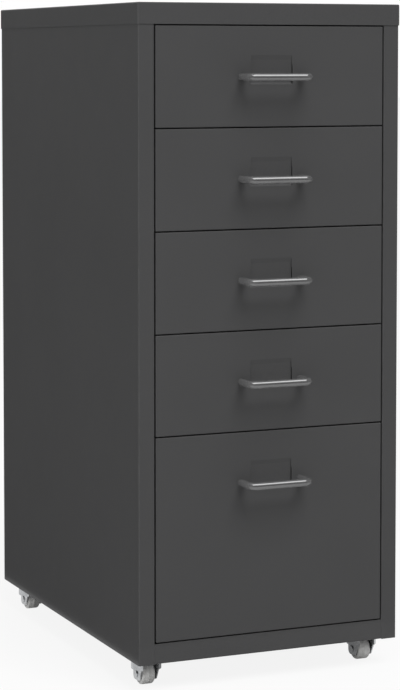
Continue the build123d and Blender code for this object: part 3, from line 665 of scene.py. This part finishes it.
def nut_tree(material):
    """Chamfered hexagon nut standing on every point, each turned its own way."""
    sizes = ["Across Flats", "Height", "Bore"]
    tree, given = new_tree("Hexagon nuts", dict.fromkeys(sizes, "NodeSocketFloat"))
    height = given["Height"]
    corner = maths(tree, "DIVIDE", given["Across Flats"], math.sqrt(3))
    prism = cylinder(tree, HEXAGON, corner, height)
    round_bar = cylinder(tree, NUT_FACETS, corner, height, NUT_ROWS)
    barrel = narrowed(tree, round_bar, height, NUT_NARROWING, NUT_POWER)
    blank = joined(tree, "INTERSECT", prism, barrel)
    bore = cylinder(tree, BORE_FACETS, given["Bore"], maths(tree, "MULTIPLY", height, 2.0))
    nut = lifted(tree, joined(tree, "DIFFERENCE", blank, bore), maths(tree, "MULTIPLY", height, 0.5))
    placed = add_node(tree, "GeometryNodeInstanceOnPoints", {"Points": given["Geometry"], "Instance": nut})
    return end_tree(tree, spun(tree, placed, NUT_SEED, math.pi / 3), material)


def ball_tree(material):
    """Ring of balls round every point."""
    kinds = {"Ball Radius": "NodeSocketFloat", "Ring Radius": "NodeSocketFloat", "Balls": "NodeSocketInt"}
    tree, given = new_tree("Ball rings", kinds)
    circle = {"Vertices": given["Balls"], "Radius": given["Ring Radius"]}
    ring = add_node(tree, "GeometryNodeMeshCircle", circle)
    rings = add_node(tree, "GeometryNodeInstanceOnPoints", {"Points": given["Geometry"], "Instance": ring})
    seats = add_node(tree, "GeometryNodeRealizeInstances", {"Geometry": rings})
    sphere = {"Radius": given["Ball Radius"], "Subdivisions": BALL_SUBDIVISIONS}
    ball = add_node(tree, "GeometryNodeMeshIcoSphere", sphere)
    placed = add_node(tree, "GeometryNodeInstanceOnPoints", {"Points": seats, "Instance": ball})
    return end_tree(tree, placed, material)


def grow(name, tree, points, edges, values):
    """Run a node tree on points and edges, and keep the result as a plain mesh."""
    seed = bpy.data.meshes.new(name)
    seed.from_pydata(points, edges, [])
    piece = bpy.data.objects.new(name, seed)
    bpy.context.scene.collection.objects.link(piece)
    modifier = piece.modifiers.new(tree.name, "NODES")
    modifier.node_group = tree
    for item in tree.interface.items_tree:
        if item.in_out == "INPUT" and item.name in values:
            modifier[item.identifier] = values[item.name]
    made = bpy.data.meshes.new_from_object(piece.evaluated_get(bpy.context.evaluated_depsgraph_get()))
    piece.modifiers.remove(modifier)
    piece.data = made
    made.name = name
    smoothed(made)
    if not made.polygons:
        raise RuntimeError(f"{name} came out empty")
    return piece


def smoothed(mesh, angle=SHARP_PAST):
    """Round shading, with edges kept sharp past an angle."""
    mesh.shade_smooth()
    mesh.set_sharp_from_angle(angle=angle)


def settle(piece, body, finish, *nodes):
    """Let a piece ride on its body and stand for packed parts. Its finish is not used."""
    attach(piece, body)
    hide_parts(*nodes)


def screw_values(sizes, grip, head, rise, turn):
    """Inputs of the screw tree."""
    return {
        "Head Radius": head,
        "Head Height": rise,
        "Thread Radius": sizes.thread,
        "Grip": grip,
        "Recess": sizes.recess,
        "Slot": sizes.slot,
        "Sink": sizes.sink,
        "Turn": turn,
    }


# Operators


class CABINET_OT_case(bpy.types.Operator):
    """Paint the case: sides, back, cover and bottom pan"""

    bl_idname = "cabinet.case"
    bl_label = "Paint case"

    def execute(self, context):
        coat(CASE_NODES, "anthracite_paint")
        return {"FINISHED"}


class CABINET_OT_drawers(bpy.types.Operator):
    """Paint the drawer fronts and trays and plate their runners"""

    bl_idname = "cabinet.drawers"
    bl_label = "Finish drawers"

    def execute(self, context):
        coat([f"{drawer}_{piece}" for drawer in DRAWERS for piece in ("front", "tray")], "anthracite_paint")
        coat([name for name in frame["nodes"] if name.startswith("runner_")], "zinc_plating")
        return {"FINISHED"}


class CABINET_OT_handles(bpy.types.Operator):
    """Bend a bright wire handle for each drawer"""

    bl_idname = "cabinet.handles"
    bl_label = "Bend handles"

    def execute(self, context):
        sizes = context.scene.cabinet_handle
        tree = handle_tree(material_for("bright_plating"))
        values = {
            "Bend Radius": sizes.bend,
            "Wire Radius": sizes.wire,
            "Step": sizes.step,
            "Bore Radius": sizes.bore,
            "Bore Depth": sizes.bore_depth,
            "Facets": sizes.facets,
        }
        for drawer in DRAWERS:
            low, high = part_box(f"{drawer}_handle")
            left, right = low.x + sizes.wire, high.x - sizes.wire
            bar, foot, level = low.y + sizes.wire, high.y, (low.z + high.z) / 2
            path = [(left, foot, level), (left, bar, level), (right, bar, level), (right, foot, level)]
            piece = grow(f"{drawer}_wire_handle", tree, path, [(0, 1), (1, 2), (2, 3)], values)
            settle(piece, drawer, "bright_plating", f"{drawer}_handle")
        return {"FINISHED"}


class CABINET_OT_handle_screws(bpy.types.Operator):
    """Put the two cross-head screws of each handle in its tray's front wall"""

    bl_idname = "cabinet.handle_screws"
    bl_label = "Fit handle screws"

    def execute(self, context):
        sizes = context.scene.cabinet_fasteners
        tree = screw_tree(material_for("zinc_plating"))
        for drawer in DRAWERS:
            low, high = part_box(f"{drawer}_handle_screws")
            level = (low.z + high.z) / 2
            seat = high.y - sizes.rise
            places = [(x, seat, level) for x in (low.x + sizes.head, high.x - sizes.head)]
            values = screw_values(sizes, seat - low.y, sizes.head, sizes.rise, HEAD_TO_BACK)
            piece = grow(f"{drawer}_cross_screws", tree, places, [], values)
            settle(piece, drawer, "zinc_plating", f"{drawer}_handle_screws")
        return {"FINISHED"}


class CABINET_OT_back_screws(bpy.types.Operator):
    """Put the cross-head screws up both sides of the back"""

    bl_idname = "cabinet.back_screws"
    bl_label = "Fit back screws"

    def execute(self, context):
        sizes = context.scene.cabinet_fasteners
        tree = screw_tree(material_for("zinc_plating"))
        low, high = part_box("back_screws")
        last = sizes.back_rows - 1
        step = (high.z - low.z - 2 * sizes.head) / last
        places = []
        for row in range(sizes.back_rows):
            seat = high.y - sizes.rise if row == last else low.y + sizes.back_grip
            level = low.z + sizes.head + step * row
            places += [(x, seat, level) for x in (low.x + sizes.head, high.x - sizes.head)]
        values = screw_values(sizes, sizes.back_grip, sizes.head, sizes.rise, HEAD_TO_BACK)
        piece = grow("back_cross_screws", tree, places, [], values)
        settle(piece, "cabinet", "zinc_plating", "back_screws")
        return {"FINISHED"}


class CABINET_OT_castors(bpy.types.Operator):
    """Plate the castors' plates, forks, axles and kingpins"""

    bl_idname = "cabinet.castors"
    bl_label = "Plate castors"

    def execute(self, context):
        names = [f"{castor}_{piece}" for castor in CASTORS for piece in ("plate", "fork", "axle")]
        coat(names + ["castor_kingpins"], "zinc_plating")
        return {"FINISHED"}


class CABINET_OT_castor_fasteners(bpy.types.Operator):
    """Screw the castors to the bottom pan: a screw and a nut in each corner of each plate"""

    bl_idname = "cabinet.castor_fasteners"
    bl_label = "Fit castor screws and nuts"

    def execute(self, context):
        sizes = context.scene.cabinet_fasteners
        zinc = material_for("zinc_plating")
        low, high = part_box("castor_screws")
        seat = low.z + sizes.castor_rise
        corners = []
        for castor in CASTORS:
            pin = JOINT_PLACES[f"{castor}_turn"]
            for x in (-sizes.hole_width / 2, sizes.hole_width / 2):
                corners += [(pin.x + x, pin.y + y) for y in (-sizes.hole_length / 2, sizes.hole_length / 2)]
        values = screw_values(sizes, high.z - seat, sizes.castor_head, sizes.castor_rise, HEAD_DOWN)
        screws = grow("castor_cross_screws", screw_tree(zinc), [(x, y, seat) for x, y in corners], [], values)
        settle(screws, "cabinet", "zinc_plating", "castor_screws")
        values = {"Across Flats": sizes.nut, "Height": sizes.nut_rise, "Bore": sizes.thread}
        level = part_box("castor_nuts")[0].z
        nuts = grow("castor_hexagon_nuts", nut_tree(zinc), [(x, y, level) for x, y in corners], [], values)
        settle(nuts, "cabinet", "zinc_plating", "castor_nuts")
        return {"FINISHED"}


class CABINET_OT_balls(bpy.types.Operator):
    """Lay a ring of bearing balls in each swivel"""

    bl_idname = "cabinet.balls"
    bl_label = "Lay bearing balls"

    def execute(self, context):
        sizes = context.scene.cabinet_fasteners
        low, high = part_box("castor_balls")
        level = (low.z + high.z) / 2
        places = [(*JOINT_PLACES[f"{castor}_turn"].xy, level) for castor in CASTORS]
        values = {"Ball Radius": sizes.ball, "Ring Radius": sizes.ring, "Balls": sizes.balls}
        piece = grow("castor_ball_rings", ball_tree(material_for("zinc_plating")), places, [], values)
        settle(piece, "cabinet", "zinc_plating", "castor_balls")
        return {"FINISHED"}


class CABINET_OT_wheels(bpy.types.Operator):
    """Mould the castor wheels: rounded tread with a seam, dished sides and a hub"""

    bl_idname = "cabinet.wheels"
    bl_label = "Mould wheels"

    def execute(self, context):
        sizes = context.scene.cabinet_wheel
        for castor in CASTORS:
            low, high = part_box(f"{castor}_wheel")
            profile = wheel_profile(sizes, (high.z - low.z) / 2, (high.x - low.x) / 2)
            mesh = turned_mesh(f"{castor}_moulded_wheel", profile, (low + high) / 2, sizes.facets)
            mesh.materials.append(material_for("grey_polypropylene"))
            piece = bpy.data.objects.new(mesh.name, mesh)
            context.scene.collection.objects.link(piece)
            settle(piece, f"{castor}_roller", "grey_polypropylene", f"{castor}_wheel")
        return {"FINISHED"}


def wheel_profile(sizes, radius, hub):
    """Closed section of a wheel as (across, radius, tread mark), with softened corners."""
    half = hub - sizes.proud
    rim = radius - sizes.rim
    face = half - sizes.dish
    soft = WHEEL_SOFTENING
    tread = radius - sizes.seam
    right = [
        (hub, sizes.bore, 0),
        (hub, sizes.hub - soft, 0),
        (hub - soft, sizes.hub, 0),
        (face + soft, sizes.hub, 0),
        (face, sizes.hub + soft, 0),
        (face, rim - soft, 0),
        (face + soft, rim, 0),
        (half - soft, rim, 0),
        (half, rim + soft, 0),
    ]
    middle = half - sizes.crown
    for step in range(TREAD_STEPS + 1):
        angle = math.pi / 2 * step / TREAD_STEPS
        across = middle + sizes.crown * math.cos(angle)
        right.append((across, tread - sizes.crown + sizes.crown * math.sin(angle), step / TREAD_STEPS))
    right.append((SEAM_FOOT * sizes.seam, tread, 1))
    right.append((SEAM_CREST * sizes.seam, radius, 1))
    return right + [(-across, out, mark) for across, out, mark in reversed(right)]


def turned_mesh(name, profile, centre, facets):
    """A closed section turned about an axle along X."""
    shape = bmesh.new()
    mark = shape.verts.layers.float.new(TREAD_MARK)
    rings = []
    for facet in range(facets):
        angle = 2 * math.pi * facet / facets
        ring = []
        for across, out, tread in profile:
            vertex = shape.verts.new(centre + Vector((across, out * math.sin(angle), -out * math.cos(angle))))
            vertex[mark] = tread
            ring.append(vertex)
        rings.append(ring)
    for ring, following in zip(rings, rings[1:] + rings[:1]):
        for index in range(len(profile)):
            after = (index + 1) % len(profile)
            shape.faces.new((ring[index], ring[after], following[after], following[index]))
    bmesh.ops.recalc_face_normals(shape, faces=shape.faces)
    mesh = bpy.data.meshes.new(name)
    shape.to_mesh(mesh)
    shape.free()
    smoothed(mesh, WHEEL_SHARP_PAST)
    return mesh


class CABINET_OT_stage(bpy.types.Operator):
    """Set the floor, the white surroundings, the lamps, the glowing cards that paint reflections, and the
    camera
    """

    bl_idname = "cabinet.stage"
    bl_label = "Set stage"

    def execute(self, context):
        look = context.scene.cabinet_stage
        lay_floor(look)
        light_world(look)
        hang_lamp("key lamp", *KEY_LAMP, look.key)
        hang_lamp("side lamp", *SIDE_LAMP, look.side)
        for card in PAINTED_REFLECTION_CARDS:
            set_painted_reflection_card(*card)
        set_camera(look)
        context.scene.view_settings.view_transform = "Standard"
        return {"FINISHED"}


def flat_sheet(name, corners, material):
    """A flat four-cornered sheet for the stage."""
    mesh = bpy.data.meshes.new(name)
    mesh.from_pydata(corners, [], [(0, 1, 2, 3)])
    layer = mesh.uv_layers.new(name="UVMap")
    for loop, place in zip(layer.data, ((0, 0), (1, 0), (1, 1), (0, 1))):
        loop.uv = place
    mesh.materials.append(material)
    made = bpy.data.objects.new(name, mesh)
    bpy.context.scene.collection.objects.link(made)
    return made


def facing(place, target):
    """Turn that points a lamp from its place to a target."""
    return (Vector(target) - Vector(place)).to_track_quat("-Z", "Y").to_euler()


def lay_floor(look):
    """Floor under the castors, out past the camera's view."""
    reach = FLOOR_REACH
    corners = [(-reach, -reach, 0), (reach, -reach, 0), (reach, reach, 0), (-reach, reach, 0)]
    flat_sheet("studio_floor", corners, floor_white(look))


def light_world(look):
    """Soft light from all round, seen as plain white."""
    world = bpy.data.worlds.new("Studio")
    world.use_nodes = True
    tree = world.node_tree
    tree.nodes.clear()
    soft = add_node(tree, "ShaderNodeBackground", {"Color": WHITE, "Strength": look.ambient})
    white = add_node(tree, "ShaderNodeBackground", {"Color": WHITE, "Strength": 1.0})
    mixed = add_node(tree, "ShaderNodeMixShader", {0: seen_directly(tree), 1: soft, 2: white})
    add_node(tree, "ShaderNodeOutputWorld", {"Surface": mixed})
    bpy.context.scene.world = world


def hang_lamp(name, place, target, size, power):
    """A soft rectangular lamp that reflections don't show."""
    lamp = bpy.data.lights.new(name, "AREA")
    lamp.shape = "RECTANGLE"
    lamp.size, lamp.size_y = size
    lamp.energy = power
    made = bpy.data.objects.new(name, lamp)
    made.location = place
    made.rotation_euler = facing(place, target)
    made.visible_glossy = False
    bpy.context.scene.collection.objects.link(made)


def set_painted_reflection_card(name, foot, rise, width, shade, foot_shade):
    """A glowing grey card that only reflections show, a painted reflection of one shade or with another one
    along its foot.
    """
    material, tree, glow = new_material(name, "ShaderNodeEmission")
    glow.inputs["Color"].default_value = (shade, shade, shade, 1.0)
    if foot_shade is not None:
        place = add_node(tree, "ShaderNodeUVMap", uv_map="UVMap")
        height = add_node(tree, "ShaderNodeSeparateXYZ", {0: place}).outputs["Y"]
        grey = remap(tree, height, 0.0, CARD_FOOT_SHARE, foot_shade, shade)
        tree.links.new(grey.outputs[0], glow.inputs["Color"])
    foot, rise, half = Vector(foot), Vector(rise), Vector(width) / 2
    corners = [foot - half, foot + half, foot + half + rise, foot - half + rise]
    card = flat_sheet(name.replace(" ", "_"), corners, material)
    card.visible_camera = card.visible_diffuse = card.visible_shadow = False
    card.visible_transmission = card.visible_volume_scatter = False


def set_camera(look):
    """Camera at the photographed angle."""
    camera = bpy.data.cameras.new("camera")
    camera.sensor_width = SENSOR_WIDTH
    camera.lens = look.lens
    camera.shift_y = look.shift
    camera.clip_end = CAMERA_REACH
    made = bpy.data.objects.new("camera", camera)
    made.location = look.camera_place
    made.rotation_euler = Euler(look.camera_turn)
    bpy.context.scene.collection.objects.link(made)
    bpy.context.scene.camera = made


OPERATORS = [
    CABINET_OT_case,
    CABINET_OT_drawers,
    CABINET_OT_handles,
    CABINET_OT_handle_screws,
    CABINET_OT_back_screws,
    CABINET_OT_castors,
    CABINET_OT_castor_fasteners,
    CABINET_OT_balls,
    CABINET_OT_wheels,
    CABINET_OT_stage,
]


class CABINET_PT_sidebar(bpy.types.Panel):
    """Steps and sizes of the cabinet"""

    bl_idname = "CABINET_PT_sidebar"
    bl_label = "Drawer cabinet"
    bl_space_type = "VIEW_3D"
    bl_region_type = "UI"
    bl_category = "Cabinet"

    def draw(self, context):
        for operator in OPERATORS:
            self.layout.operator(operator.bl_idname)
        for name, group in GROUPS.items():
            box = self.layout.box()
            box.label(text=group.__doc__)
            for field in group.__annotations__:
                box.prop(getattr(context.scene, name), field)


def register():
    for cls in [*GROUPS.values(), *OPERATORS, CABINET_PT_sidebar]:
        bpy.utils.register_class(cls)
    for name, group in GROUPS.items():
        setattr(bpy.types.Scene, name, PointerProperty(type=group))


def unregister():
    for name in GROUPS:
        delattr(bpy.types.Scene, name)
    for cls in reversed([*GROUPS.values(), *OPERATORS, CABINET_PT_sidebar]):
        bpy.utils.unregister_class(cls)


def main():
    """Run every step in order."""
    register()
    for operator in OPERATORS:
        group, step = operator.bl_idname.split(".")
        getattr(getattr(bpy.ops, group), step)()


if __name__ == "__main__":
    main()
